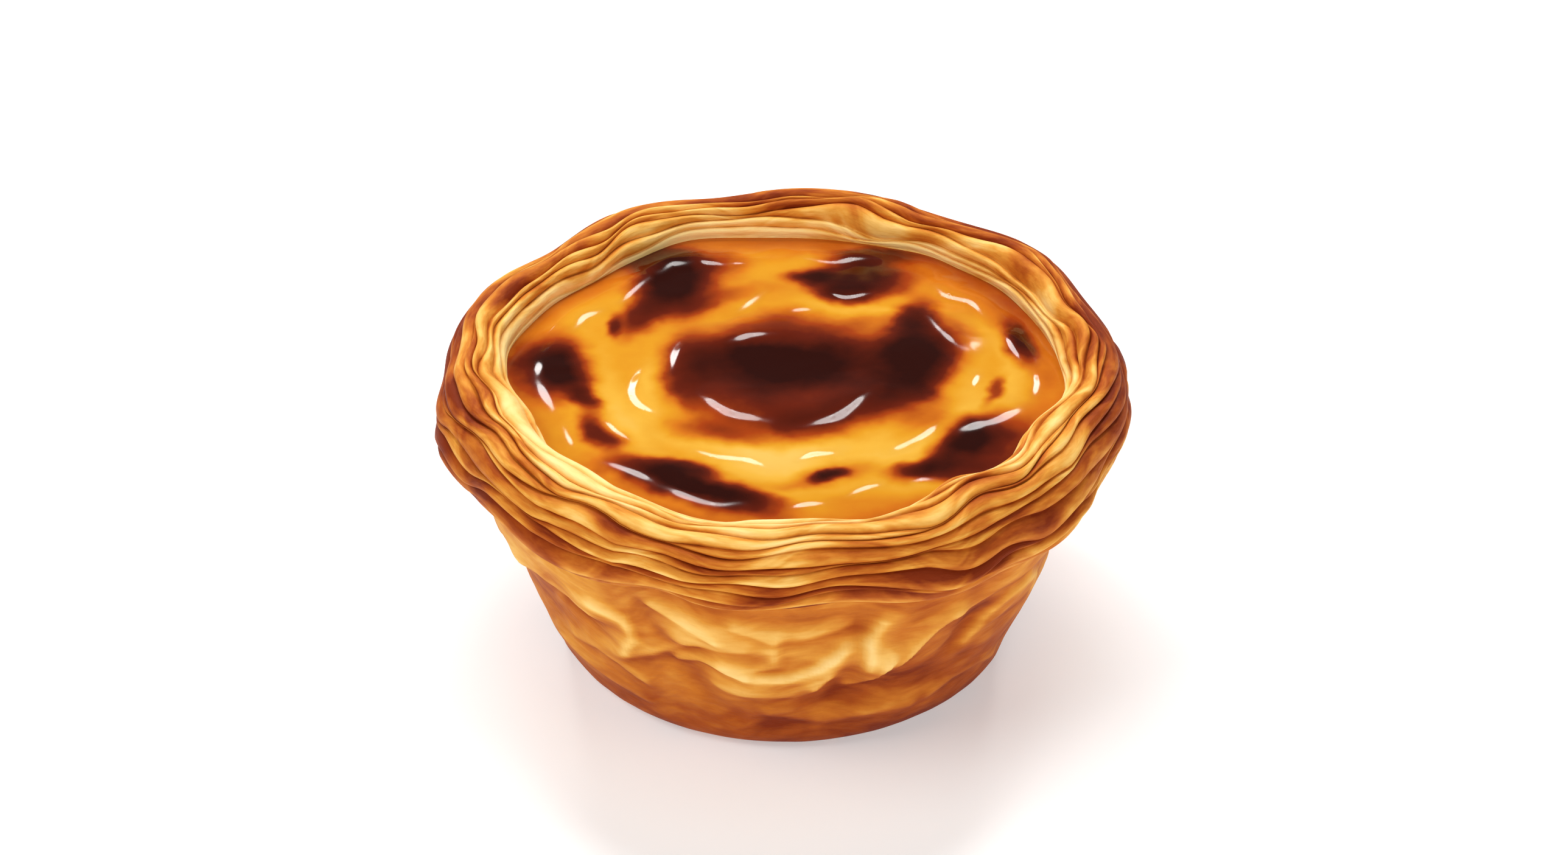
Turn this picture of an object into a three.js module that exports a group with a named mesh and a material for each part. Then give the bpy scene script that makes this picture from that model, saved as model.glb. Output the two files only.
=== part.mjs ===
// A custard tart: a deep pastry case with a rolled, leafy lip, filled with custard that the oven blistered.
// Millimetres, with +Z up. The tart stands on z = 0 and its axis is the Z axis. Its front faces -Y.
import * as THREE from "three";

// Driving sizes of the case
const LIP_RADIUS = 37.5; // the widest part of the lip
const LIP_WIDEST_Z = 28.7;
const CREST_RADIUS = 33.4; // the top of the lip
const CREST_Z = 35.5;
const CUSTARD_RADIUS = 30.4; // where the custard meets the pastry
const CUSTARD_EDGE_Z = 31.3;
const TUCK_RADIUS = 30.9; // centre of the arc that turns under the lip
const TUCK_DROP = 4.7; // how far that arc drops below the widest part
const TUCK_TURN = THREE.MathUtils.degToRad(60);
const CREST_FOLLOW = 0.55; // part of the lip's and the custard's lobes that the crest follows
const TUCK_FOLLOW = 0.4; // part of the lip's lobes that the tuck follows
const FOOT_RADIUS = 24.7; // of the side wall, carried on down to z = 0
const FOOT_ROUNDING = 2.2;
const WALL_HEIGHT = 24.6; // usual height of the wall under the lip
const WALL_MID_RADIUS = 30;
const FLOOR_Z = 3.4; // thickness of the pastry floor
const FLOOR_RADIUS = 20.4;
const CUP_ROUNDING = 0.8; // under 1, the inside of the case bellies out above its floor
const CUSTARD_GAP = 0.3; // clearance between custard and pastry

// Driving sizes of the leaves that the lip is rolled from
const LEAF_DEPTH = 0.85;
const THINNEST_LEAF = 0.08; // beside a usual leaf
const RIPPLE_LAG = 0.9; // how far the ripples turn from one edge to the next, in radians
const CREST_SHARE = 0.29; // share of the lip's section at its crest, and at its widest part
const WIDEST_SHARE = 0.74;

// Colours
const PASTRY = new THREE.Color(0.78, 0.47, 0.18);
const CUSTARD = new THREE.Color(0.85, 0.48, 0.1);

// Grid
const BEARINGS = 90;
const WALL_ROWS = 12;
const FOOT_ROWS = 3;
const CUSTARD_RINGS = 12;

// Dents and bulges, each with its bearing and half width in degrees and its push in millimetres
const LIP_LOBES = [
  [22, 9, -1.1], [56, 10, -1.3], [72, 8, 0.2], [102, 10, -1.2], [122, 8, 0.3], [140, 10, -1.6],
  [178, 7, -0.5], [189, 7, 0.5], [206, 8, -0.6], [236, 9, -0.7], [256, 9, 0.3], [277, 8, -0.6],
  [312, 9, -0.5], [338, 9, -0.8],
];
const CUSTARD_LOBES = [
  [40, 9, 0.5], [58, 8, 0.7], [110, 10, 1.3], [136, 9, -0.6], [168, 8, 0.5], [200, 13, -1.8],
  [227, 8, -1.3], [257, 10, 0.9], [286, 9, 0.9], [305, 6, -1.3], [333, 9, -1.5], [354, 8, 0.4],
];
const CREST_LOBES = [
  [30, 9, 0.3], [60, 14, -0.7], [86, 6, 0.1], [106, 14, -0.8], [140, 12, -0.5], [206, 14, 0.5],
  [257, 12, -0.5], [286, 9, -0.4], [306, 8, 0.5], [333, 10, 0.5], [355, 9, -0.3],
];
const WIDEST_LOBES = [
  [12, 12, -0.5], [50, 14, 0.6], [100, 12, -0.6], [150, 14, 0.6], [188, 12, -0.6], [216, 9, 1.3],
  [233, 7, -0.2], [249, 8, 1.5], [266, 8, 0.4], [281, 9, 1.1], [300, 8, -0.4], [318, 8, -0.6], [345, 12, 0.5],
];

// Where the lip drops less below its widest part: bearing, half width and how much less
const TUCK_LOBES = [[262, 30, 1.3], [306, 14, 0.6]];

// Each leaf's usual width beside the others', from the custard outwards
const LEAF_WIDTHS = [0.6, 0.8, 1, 1.05, 1, 1, 1, 0.85, 0.85, 0.85, 0.85, 0.85, 1.1, 1.3, 1.3];
// How each edge between two leaves wanders: how many waves go round the tart, and their reach in leaf widths
const EDGE_WAVES = [[2, 0.3], [4, 0.3], [6, 0.22], [9, 0.14]];
// Smaller waves that run on from edge to edge
const RIPPLES = [[11, 0.15], [16, 0.15], [22, 0.13]];
// A leaf's rise at part of its width: it swells from a groove beside its inner neighbour and ends in a step.
const LEAF_STEPS = [[0, 0], [0.32, 0.75], [0.78, 1]];
// Where the seeded draws for the edges, the waves and the ripples begin
const EDGE_DRAW = 63;
const WAVE_DRAW = 97;
const RIPPLE_DRAW = 55;

// Folds of the side wall: how many go round, their lean in turns up the wall, their depth and phase in turns
const WALL_FOLDS = [
  [2, 2.1, 0.16, 0.1], [3, -1.5, 0.16, 0.62], [5, 2.9, 0.12, 0.35], [8, -1.9, 0.1, 0.8],
];
// Creases of the side wall: lift, half widths on the steep and the gentle side, then the points of the line.
// A point is a bearing in degrees and a share of the usual height. The gentle side is on the line's left.
const CREASES = [
  [0.6, 0.7, 2.4, [[206, 0.7], [214, 0.745], [224, 0.76], [230, 0.72]]],
  [0.7, 0.6, 3, [[236, 0.54], [238.5, 0.63], [237.5, 0.74], [231, 0.8]]],
  [0.65, 0.7, 2.2, [[245, 0.93], [251, 0.88], [257, 0.8]]],
  [0.45, 0.5, 1.4, [[261, 0.88], [264, 0.85], [268, 0.8]]],
  [0.6, 0.6, 2.6, [[235, 0.5], [242, 0.58], [246, 0.65], [251, 0.73]]],
  [0.45, 0.6, 2.2, [[250, 0.745], [257, 0.735], [262, 0.74]]],
  [0.5, 0.8, 2, [[258, 0.62], [264, 0.6], [268, 0.64], [268, 0.74]]],
  [0.55, 0.6, 1.2, [[248.5, 0.6], [253, 0.635], [257, 0.61], [262, 0.545]]],
  [0.75, 0.6, 3.2, [[281.5, 0.7], [279, 0.64], [275, 0.57], [270, 0.53], [264, 0.535], [259, 0.57]]],
  [0.4, 0.6, 1.8, [[256, 0.47], [258, 0.44], [264, 0.42], [272, 0.41], [276, 0.44]]],
  [0.5, 0.7, 1.3, [[276.5, 0.47], [279, 0.54]]],
  [0.6, 0.5, 1.6, [[283.5, 0.45], [287, 0.465], [289.5, 0.5], [291, 0.6]]],
  [0.7, 0.7, 3, [[288.5, 0.87], [286.5, 0.75], [287, 0.58]]],
  [0.65, 0.6, 2, [[294, 0.57], [297, 0.66], [300, 0.74], [304, 0.79]]],
  [0.6, 0.8, 4, [[333, 0.52], [331, 0.66], [326, 0.72], [320, 0.71], [315, 0.64], [311, 0.52]]],
  [0.35, 0.6, 1.8, [[269, 0.82], [275, 0.82], [282, 0.87]]],
  [0.4, 0.6, 2, [[219, 0.43], [226, 0.455], [232, 0.42], [238, 0.35]]],
  [0.35, 0.5, 1.6, [[305, 0.23], [312, 0.265], [322, 0.25], [328, 0.2]]],
  [0.3, 0.6, 2, [[306, 0.8], [316, 0.84], [328, 0.82], [336, 0.75]]],
  [0.35, 0.6, 2.2, [[189, 0.64], [198, 0.74], [206, 0.71]]],
  [0.3, 0.6, 1.8, [[267, 0.27], [280, 0.21], [292, 0.24], [300, 0.215]]],
  [0.3, 0.6, 2, [[211, 0.33], [222, 0.26], [236, 0.2]]],
  [0.35, 0.7, 2.2, [[335, 0.54], [342, 0.42], [350, 0.42]]],
  [-0.5, 1.3, 1.3, [[283.5, 0.88], [283.5, 0.7], [283, 0.5], [280, 0.34]]],
  [-0.5, 1.4, 2.2, [[310, 0.68], [307, 0.54], [312, 0.42]]],
  [-0.4, 1.5, 1.5, [[247, 0.54], [251, 0.42], [255, 0.3], [259, 0.24]]],
  [-0.35, 1.3, 1.3, [[242, 0.88], [243, 0.78], [246, 0.7]]],
  [-0.35, 1.5, 1.5, [[222, 0.66], [229, 0.6], [234, 0.53]]],
];
const NEAR_HALF = 187; // bearings above this one carry the creases as listed
const FAR_MIRROR = 374; // the others carry them mirrored, read at this less the bearing
const FADE_ABOVE_FOOT = 5; // how fast the relief comes in, in whole reliefs to the wall's height
const FADE_UNDER_LIP = 8;

// The custard's skin: a sunken dome in the middle, a trough round it and a raised outer ring
const DOME = { x: 2.5, y: 1, across: 15.5, deep: 10.5, lift: 0.9, sink: 0.5 };
const RING = { radius: 22, half: 5, lift: 0.12 };
const DIP = { reach: 0.93, half: 0.05, depth: 0.12 }; // a groove just inside the pastry
const SETTLED_BAND = 0.3; // part of the reach over which the skin settles level with the pastry
const HOLLOW_SIZE = 0.6; // of the dome

// Blisters: centre, half length, half width, turn in degrees and lift
const BLISTERS = [
  [14.8, 5, 7.5, 4.4, 82, 0.4], [14.3, 14, 4, 2.4, 80, 0.12], [-12.6, 20.5, 6.5, 4.2, 75, 0.12],
  [-16.5, 13, 4.2, 1.8, 70, 0.12], [8, 21, 6.4, 4, 10, 0.1], [24.6, 7.6, 3.8, 2, 100, 0.12],
  [-23.6, 2, 5.6, 3.4, 95, 0.2], [-20, -10.2, 3.2, 1.8, 120, 0.12], [-10, -18.8, 9, 3.2, -27, 0.25],
  [4.8, -18.2, 3, 1.8, 18, 0.12], [18.2, -11.4, 6.4, 3.4, 52, 0.25], [14.2, -16.4, 3.6, 2, 20, 0.12],
  [-3, -6.5, 8, 3.6, -15, 0.2], [7.5, -6, 8, 3, 35, 0.2],
];

const TURN = 2 * Math.PI;
const bearings = Array.from({ length: BEARINGS }, (_, i) => (TURN * i) / BEARINGS);
const radians = THREE.MathUtils.degToRad;

// The same number in 0 to 1 each time for a pair of whole numbers.
function draw(a, b) {
  const x = Math.sin(a * 127.1 + b * 311.7) * 43758.5453;
  return x - Math.floor(x);
}

function lobes(list, bearing) {
  return list.reduce((sum, [at, half, push]) => {
    const away = Math.atan2(Math.sin(bearing - radians(at)), Math.cos(bearing - radians(at)));
    return sum + push * Math.exp(-((away / radians(half)) ** 2));
  }, 0);
}

// The main sizes of the section at one bearing
function sizes(bearing) {
  const lip = lobes(LIP_LOBES, bearing);
  const edge = lobes(CUSTARD_LOBES, bearing);
  return {
    edge: CUSTARD_RADIUS + edge,
    crest: CREST_RADIUS + CREST_FOLLOW * (lip + edge),
    crestZ: CREST_Z + lobes(CREST_LOBES, bearing),
    lip: LIP_RADIUS + lip,
    lipZ: LIP_WIDEST_Z + lobes(WIDEST_LOBES, bearing),
    tuck: TUCK_RADIUS + TUCK_FOLLOW * lip,
    drop: TUCK_DROP - lobes(TUCK_LOBES, bearing),
  };
}

// A point of the smooth lip and its outward normal, in (radius, height). Each stretch is an elliptic arc.
// share runs from 0 at the custard's edge, over the crest and the widest part, to 1 where the lip tucks in.
function lipSection(share, s) {
  let centre, arms, turn;
  if (share < CREST_SHARE) {
    centre = [s.crest, CUSTARD_EDGE_Z];
    arms = [s.crest - s.edge, s.crestZ - CUSTARD_EDGE_Z];
    turn = Math.PI - (Math.PI / 2) * (share / CREST_SHARE);
  } else if (share < WIDEST_SHARE) {
    centre = [s.crest, s.lipZ];
    arms = [s.lip - s.crest, s.crestZ - s.lipZ];
    turn = (Math.PI / 2) * (1 - (share - CREST_SHARE) / (WIDEST_SHARE - CREST_SHARE));
  } else {
    centre = [s.tuck, s.lipZ];
    arms = [s.lip - s.tuck, s.drop];
    turn = (-TUCK_TURN * (share - WIDEST_SHARE)) / (1 - WIDEST_SHARE);
  }
  const normal = new THREE.Vector2(Math.cos(turn) / arms[0], Math.sin(turn) / arms[1]).normalize();
  return { r: centre[0] + arms[0] * Math.cos(turn), z: centre[1] + arms[1] * Math.sin(turn), normal };
}

// How far one edge between two leaves strays from its usual place, in leaf widths
function edgeSwing(edge, bearing) {
  if (edge === 0 || edge === LEAF_WIDTHS.length) return 0;
  const own = EDGE_WAVES.map(([count, reach], j) => {
    const phase = draw(j, WAVE_DRAW) + draw(edge + EDGE_DRAW, j);
    return reach * Math.cos(count * bearing + TURN * phase);
  });
  const shared = RIPPLES.map(([count, reach], j) => {
    return reach * Math.cos(count * bearing + TURN * draw(j, RIPPLE_DRAW) + RIPPLE_LAG * edge);
  });
  return [...own, ...shared].reduce((a, b) => a + b);
}

// Shares of the section where each leaf begins, at one bearing. A leaf pinches out where its edges meet.
function leafEdges(bearing) {
  const swings = Array.from({ length: LEAF_WIDTHS.length + 1 }, (_, edge) => edgeSwing(edge, bearing));
  const widths = LEAF_WIDTHS.map((usual, leaf) => {
    return Math.max(THINNEST_LEAF, usual * (1 + swings[leaf + 1] - swings[leaf]));
  });
  const total = widths.reduce((a, b) => a + b);
  const edges = [0];
  widths.forEach((width) => edges.push(edges[edges.length - 1] + width / total));
  return edges;
}

function pointAt(r, z, bearing) {
  return new THREE.Vector3(r * Math.cos(bearing), r * Math.sin(bearing), z);
}

// The lip's rows from the custard's edge outwards, three to a leaf
function lipRows() {
  const columns = bearings.map((bearing) => {
    const s = sizes(bearing);
    const edges = leafEdges(bearing);
    const points = [];
    for (let leaf = 0; leaf < LEAF_WIDTHS.length; leaf++) {
      const width = edges[leaf + 1] - edges[leaf];
      const depth = LEAF_DEPTH * Math.min(1, width * LEAF_WIDTHS.length);
      for (const [part, rise] of LEAF_STEPS) {
        const { r, z, normal } = lipSection(edges[leaf] + part * width, s);
        const settle = leaf === 0 ? part : 1; // the first leaf begins flush with the custard's edge
        const lift = depth * (rise - 0.5) * settle;
        points.push(pointAt(r + lift * normal.x, z + lift * normal.y, bearing));
      }
    }
    return points;
  });
  return columns[0].map((_, row) => columns.map((column) => column[row]));
}

// A crease's rise at a place. It falls off over its gentle half width on the left of the line and over its
// steep one on the right.
function creaseRise({ lift, steep, gentle, points }, place) {
  const nearest = new THREE.Vector3();
  const gaps = points.slice(1).map((end, i) => {
    new THREE.Line3(points[i], end).closestPointToPoint(place, true, nearest);
    const away = place.clone().sub(nearest);
    const ahead = end.clone().sub(points[i]).normalize();
    return { length: away.length(), left: ahead.cross(away).z };
  });
  const { length, left } = gaps.reduce((a, b) => (b.length < a.length ? b : a));
  if (length === 0) return lift;
  const half = (steep + gentle + (gentle - steep) * (left / length)) / 2;
  return lift * Math.exp(-((length / half) ** 2));
}

// A place on the unrolled side wall, in millimetres
function wallPlace(degrees, z) {
  return new THREE.Vector3(radians(degrees) * WALL_MID_RADIUS, z, 0);
}

const creases = CREASES.map(([lift, steep, gentle, points]) => {
  return { lift, steep, gentle, points: points.map(([degrees, up]) => wallPlace(degrees, up * WALL_HEIGHT)) };
});

// The relief of the side wall. It fades out where the wall meets the lip and the floor.
function wallRelief(bearing, z, topZ) {
  const up = z / topZ;
  const waves = WALL_FOLDS.map(([count, lean, depth, phase]) => {
    return depth * Math.cos(count * bearing + TURN * (lean * up + phase));
  });
  const degrees = THREE.MathUtils.radToDeg(bearing);
  const place = wallPlace(degrees > NEAR_HALF ? degrees : FAR_MIRROR - degrees, z);
  const raised = creases.map((crease) => creaseRise(crease, place));
  const fade = Math.min(1, FADE_ABOVE_FOOT * up, FADE_UNDER_LIP * (1 - up));
  return fade * [...waves, ...raised].reduce((a, b) => a + b);
}

function wallRadius(z, bearing, topRadius, topZ) {
  return FOOT_RADIUS + ((topRadius - FOOT_RADIUS) * z) / topZ + wallRelief(bearing, z, topZ);
}

// Rows of the side wall from under the lip to the flat foot
function wallRows() {
  const quarter = Array.from({ length: FOOT_ROWS + 1 }, (_, i) => ((Math.PI / 2) * i) / FOOT_ROWS);
  const heights = (topZ) => [
    ...Array.from({ length: WALL_ROWS }, (_, i) => topZ + ((FOOT_ROUNDING - topZ) * i) / WALL_ROWS),
    ...quarter.map((turn) => FOOT_ROUNDING * (1 - Math.sin(turn))),
  ];
  const columns = bearings.map((bearing) => {
    const top = lipSection(1, sizes(bearing));
    return heights(top.z).map((z) => {
      const k = Math.max(0, 1 - z / FOOT_ROUNDING);
      const inset = FOOT_ROUNDING * (1 - Math.sqrt(1 - k * k));
      return pointAt(wallRadius(z, bearing, top.r, top.z) - inset, z, bearing);
    });
  });
  return columns[0].map((_, row) => columns.map((column) => column[row]));
}

// The inside of the case, or the custard's side when gap isn't 0. share is 0 at the floor and 1 at the top.
function cupRow(share, gap) {
  return bearings.map((bearing) => {
    const top = sizes(bearing).edge;
    const round = FLOOR_RADIUS + (CUSTARD_RADIUS - FLOOR_RADIUS) * share ** CUP_ROUNDING;
    const z = FLOOR_Z + gap * (1 - share) + (CUSTARD_EDGE_Z - FLOOR_Z) * share;
    return pointAt(round + (top - CUSTARD_RADIUS) * share ** 2 - gap, z, bearing);
  });
}

// A closed surface through rows of points, each once round the axis, with a fan to the axis at both ends.
function closedSurface(rows) {
  const count = rows[0].length;
  const points = rows.flat();
  const faces = [];
  for (let row = 0; row + 1 < rows.length; row++) {
    for (let i = 0; i < count; i++) {
      const next = (i + 1) % count;
      const [here, ahead] = [row * count, (row + 1) * count];
      faces.push(here + i, ahead + i, here + next, here + next, ahead + i, ahead + next);
    }
  }
  const axisPoint = (row) => new THREE.Vector3(0, 0, row.reduce((sum, p) => sum + p.z, 0) / count);
  const first = points.push(axisPoint(rows[0])) - 1;
  const last = points.push(axisPoint(rows[rows.length - 1])) - 1;
  for (let i = 0; i < count; i++) {
    const next = (i + 1) % count;
    const end = (rows.length - 1) * count;
    faces.push(first, i, next, last, end + next, end + i);
  }
  const geometry = new THREE.BufferGeometry().setFromPoints(points);
  geometry.setIndex(faces);
  geometry.computeVertexNormals();
  return geometry;
}

function blisterLift(x, y) {
  return BLISTERS.reduce((sum, [cx, cy, long, wide, degrees, lift]) => {
    const at = new THREE.Vector2(x - cx, y - cy).rotateAround(new THREE.Vector2(), -radians(degrees));
    return sum + lift * Math.exp(-((at.x / long) ** 2) - (at.y / wide) ** 2);
  }, 0);
}

// Height of the custard's skin. reach is 0 on the axis and 1 at the pastry, where the skin ends level.
function skinHeight(x, y, reach) {
  const across = (x - DOME.x) / DOME.across;
  const deep = (y - DOME.y) / DOME.deep;
  const dome = Math.exp(-(across ** 4) - deep ** 4);
  const hollow = Math.exp(-(across ** 2 + deep ** 2) / HOLLOW_SIZE ** 2);
  const ring = Math.exp(-(((Math.hypot(x, y) - RING.radius) / RING.half) ** 2));
  const dip = DIP.depth * Math.exp(-(((reach - DIP.reach) / DIP.half) ** 2));
  const raised = DOME.lift * dome - DOME.sink * hollow + RING.lift * ring + blisterLift(x, y);
  return CUSTARD_EDGE_Z + Math.min(1, (1 - reach) / SETTLED_BAND) * (raised - dip);
}

function skinPoint(x, y, reach) {
  return new THREE.Vector3(x, y, skinHeight(x, y, reach));
}

function custardGeometry() {
  const rim = cupRow(1, CUSTARD_GAP);
  const rings = Array.from({ length: CUSTARD_RINGS }, (_, i) => (i + 1) / CUSTARD_RINGS);
  const skin = rings.map((reach) => rim.map((p) => skinPoint(p.x * reach, p.y * reach, reach)));
  const geometry = closedSurface([...skin, cupRow(0.5, CUSTARD_GAP), cupRow(0, CUSTARD_GAP)]);
  const positions = geometry.attributes.position;
  const middle = positions.count - 2; // the fan's point, which would lie at its ring's mean height
  positions.setZ(middle, skinHeight(0, 0, 0));
  return geometry;
}

function caseGeometry() {
  return closedSurface([cupRow(0, 0), cupRow(0.5, 0), ...lipRows(), ...wallRows()]);
}

function mesh(name, geometry, color, roughness) {
  const material = new THREE.MeshStandardMaterial({ color, roughness, metalness: 0 });
  const made = new THREE.Mesh(geometry, material);
  made.name = name;
  return made;
}

const tart = new THREE.Group();
tart.add(mesh("pastry_case", caseGeometry(), PASTRY, 0.55));
tart.add(mesh("custard", custardGeometry(), CUSTARD, 0.15));

export default tart;
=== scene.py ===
"""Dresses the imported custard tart: a leafy pastry case and a blistered, glazed custard, both made as mesh.

Shapes are worked out in millimetres from the same driving sizes as the solids, then written in metres.
"""

import math

import bpy
import numpy as np
from mathutils import Matrix, Vector

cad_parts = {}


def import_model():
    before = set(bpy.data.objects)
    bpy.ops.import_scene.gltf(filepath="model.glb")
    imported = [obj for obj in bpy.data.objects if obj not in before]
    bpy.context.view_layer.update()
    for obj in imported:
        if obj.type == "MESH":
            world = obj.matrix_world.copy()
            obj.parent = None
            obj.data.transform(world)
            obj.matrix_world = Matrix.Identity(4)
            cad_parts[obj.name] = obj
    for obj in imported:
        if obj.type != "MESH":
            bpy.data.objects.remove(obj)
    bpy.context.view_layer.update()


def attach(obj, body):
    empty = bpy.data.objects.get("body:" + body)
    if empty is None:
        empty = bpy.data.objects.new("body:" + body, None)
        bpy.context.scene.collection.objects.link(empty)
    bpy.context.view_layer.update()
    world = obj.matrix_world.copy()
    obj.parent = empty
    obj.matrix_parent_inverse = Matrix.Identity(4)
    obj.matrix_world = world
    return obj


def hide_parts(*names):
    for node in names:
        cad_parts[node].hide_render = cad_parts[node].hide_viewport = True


MM = 0.001
TURN = 2 * math.pi

# Driving sizes of the case, in millimetres
LIP_RADIUS = 37.5
LIP_WIDEST_Z = 28.7
CREST_RADIUS = 33.4
CREST_Z = 35.5
CUSTARD_RADIUS = 30.4
CUSTARD_EDGE_Z = 31.3
TUCK_RADIUS = 30.9
TUCK_DROP = 4.7
TUCK_TURN = math.radians(60)
CREST_FOLLOW = 0.55
TUCK_FOLLOW = 0.4
FOOT_RADIUS = 24.7
FOOT_ROUNDING = 2.2
WALL_HEIGHT = 24.6
WALL_MID_RADIUS = 30
FLOOR_Z = 3.4
FLOOR_RADIUS = 20.4
CUP_ROUNDING = 0.8

# Driving sizes of the leaves that the lip is rolled from
LEAF_DEPTH = 0.85
THINNEST_LEAF = 0.08
RIPPLE_LAG = 0.9
CREST_SHARE = 0.29
WIDEST_SHARE = 0.74

# Dents and bulges, each with its bearing and half width in degrees and its push in millimetres
LIP_LOBES = [
    [22, 9, -1.1], [56, 10, -1.3], [72, 8, 0.2], [102, 10, -1.2], [122, 8, 0.3], [140, 10, -1.6],
    [178, 7, -0.5], [189, 7, 0.5], [206, 8, -0.6], [236, 9, -0.7], [256, 9, 0.3], [277, 8, -0.6],
    [312, 9, -0.5], [338, 9, -0.8],
]
CUSTARD_LOBES = [
    [40, 9, 0.5], [58, 8, 0.7], [110, 10, 1.3], [136, 9, -0.6], [168, 8, 0.5], [200, 13, -1.8],
    [227, 8, -1.3], [257, 10, 0.9], [286, 9, 0.9], [305, 6, -1.3], [333, 9, -1.5], [354, 8, 0.4],
]
CREST_LOBES = [
    [30, 9, 0.3], [60, 14, -0.7], [86, 6, 0.1], [106, 14, -0.8], [140, 12, -0.5], [206, 14, 0.5],
    [257, 12, -0.5], [286, 9, -0.4], [306, 8, 0.5], [333, 10, 0.5], [355, 9, -0.3],
]
WIDEST_LOBES = [
    [12, 12, -0.5], [50, 14, 0.6], [100, 12, -0.6], [150, 14, 0.6], [188, 12, -0.6], [216, 9, 1.3],
    [233, 7, -0.2], [249, 8, 1.5], [266, 8, 0.4], [281, 9, 1.1], [300, 8, -0.4], [318, 8, -0.6],
    [345, 12, 0.5],
]
# How much less the lip turns under, in the same terms
TUCK_LOBES = [[262, 30, 1.3], [306, 14, 0.6]]
# Each leaf's usual width beside the others', from the custard outwards
LEAF_WIDTHS = [0.6, 0.8, 1, 1.05, 1, 1, 1, 0.85, 0.85, 0.85, 0.85, 0.85, 1.1, 1.3, 1.3]
# How each edge between two leaves wanders: how many waves go round the tart, and their reach in leaf widths
EDGE_WAVES = [[2, 0.3], [4, 0.3], [6, 0.22], [9, 0.14]]
# Smaller waves that run on from edge to edge
RIPPLES = [[11, 0.15], [16, 0.15], [22, 0.13]]
# Where the seeded draws for the edges, the waves and the ripples begin
EDGE_DRAW = 63
WAVE_DRAW = 97
RIPPLE_DRAW = 55
# Folds of the side wall: how many go round, their lean in turns up the wall, their depth and phase in turns
WALL_FOLDS = [[2, 2.1, 0.16, 0.1], [3, -1.5, 0.16, 0.62], [5, 2.9, 0.12, 0.35], [8, -1.9, 0.1, 0.8]]
# Creases of the side wall: lift, half width on the steep side, half width on the gentle side, which is on
# the left of the way the line runs, then the line's points at a bearing in degrees and a share of the height
CREASES = [
    [0.6, 0.7, 2.4, [[206, 0.7], [214, 0.745], [224, 0.76], [230, 0.72]]],
    [0.7, 0.6, 3, [[236, 0.54], [238.5, 0.63], [237.5, 0.74], [231, 0.8]]],
    [0.65, 0.7, 2.2, [[245, 0.93], [251, 0.88], [257, 0.8]]],
    [0.45, 0.5, 1.4, [[261, 0.88], [264, 0.85], [268, 0.8]]],
    [0.6, 0.6, 2.6, [[235, 0.5], [242, 0.58], [246, 0.65], [251, 0.73]]],
    [0.45, 0.6, 2.2, [[250, 0.745], [257, 0.735], [262, 0.74]]],
    [0.5, 0.8, 2, [[258, 0.62], [264, 0.6], [268, 0.64], [268, 0.74]]],
    [0.55, 0.6, 1.2, [[248.5, 0.6], [253, 0.635], [257, 0.61], [262, 0.545]]],
    [0.75, 0.6, 3.2, [[281.5, 0.7], [279, 0.64], [275, 0.57], [270, 0.53], [264, 0.535], [259, 0.57]]],
    [0.4, 0.6, 1.8, [[256, 0.47], [258, 0.44], [264, 0.42], [272, 0.41], [276, 0.44]]],
    [0.5, 0.7, 1.3, [[276.5, 0.47], [279, 0.54]]],
    [0.6, 0.5, 1.6, [[283.5, 0.45], [287, 0.465], [289.5, 0.5], [291, 0.6]]],
    [0.7, 0.7, 3, [[288.5, 0.87], [286.5, 0.75], [287, 0.58]]],
    [0.65, 0.6, 2, [[294, 0.57], [297, 0.66], [300, 0.74], [304, 0.79]]],
    [0.6, 0.8, 4, [[333, 0.52], [331, 0.66], [326, 0.72], [320, 0.71], [315, 0.64], [311, 0.52]]],
    [0.35, 0.6, 1.8, [[269, 0.82], [275, 0.82], [282, 0.87]]],
    [0.4, 0.6, 2, [[219, 0.43], [226, 0.455], [232, 0.42], [238, 0.35]]],
    [0.35, 0.5, 1.6, [[305, 0.23], [312, 0.265], [322, 0.25], [328, 0.2]]],
    [0.3, 0.6, 2, [[306, 0.8], [316, 0.84], [328, 0.82], [336, 0.75]]],
    [0.35, 0.6, 2.2, [[189, 0.64], [198, 0.74], [206, 0.71]]],
    [0.3, 0.6, 1.8, [[267, 0.27], [280, 0.21], [292, 0.24], [300, 0.215]]],
    [0.3, 0.6, 2, [[211, 0.33], [222, 0.26], [236, 0.2]]],
    [0.35, 0.7, 2.2, [[335, 0.54], [342, 0.42], [350, 0.42]]],
    [-0.5, 1.3, 1.3, [[283.5, 0.88], [283.5, 0.7], [283, 0.5], [280, 0.34]]],
    [-0.5, 1.4, 2.2, [[310, 0.68], [307, 0.54], [312, 0.42]]],
    [-0.4, 1.5, 1.5, [[247, 0.54], [251, 0.42], [255, 0.3], [259, 0.24]]],
    [-0.35, 1.3, 1.3, [[242, 0.88], [243, 0.78], [246, 0.7]]],
    [-0.35, 1.5, 1.5, [[222, 0.66], [229, 0.6], [234, 0.53]]],
]
# The half of the wall past this bearing has the creases, and the other half is its mirror image
NEAR_HALF = 187
FAR_MIRROR = 374
# How fast the relief grows above the foot and under the lip, beside the share of the height
FADE_ABOVE_FOOT = 5
FADE_UNDER_LIP = 8
# The custard's skin: a sunken dome, a trough round it, a raised outer ring and a dip beside the pastry
DOME = {"x": 2.5, "y": 1, "across": 15.5, "deep": 10.5, "lift": 0.9, "sink": 0.5}
RING = {"radius": 22, "half": 5, "lift": 0.12}
DIP = {"reach": 0.93, "half": 0.05, "depth": 0.12}
SETTLED_BAND = 0.3
HOLLOW_SIZE = 0.6
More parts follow.
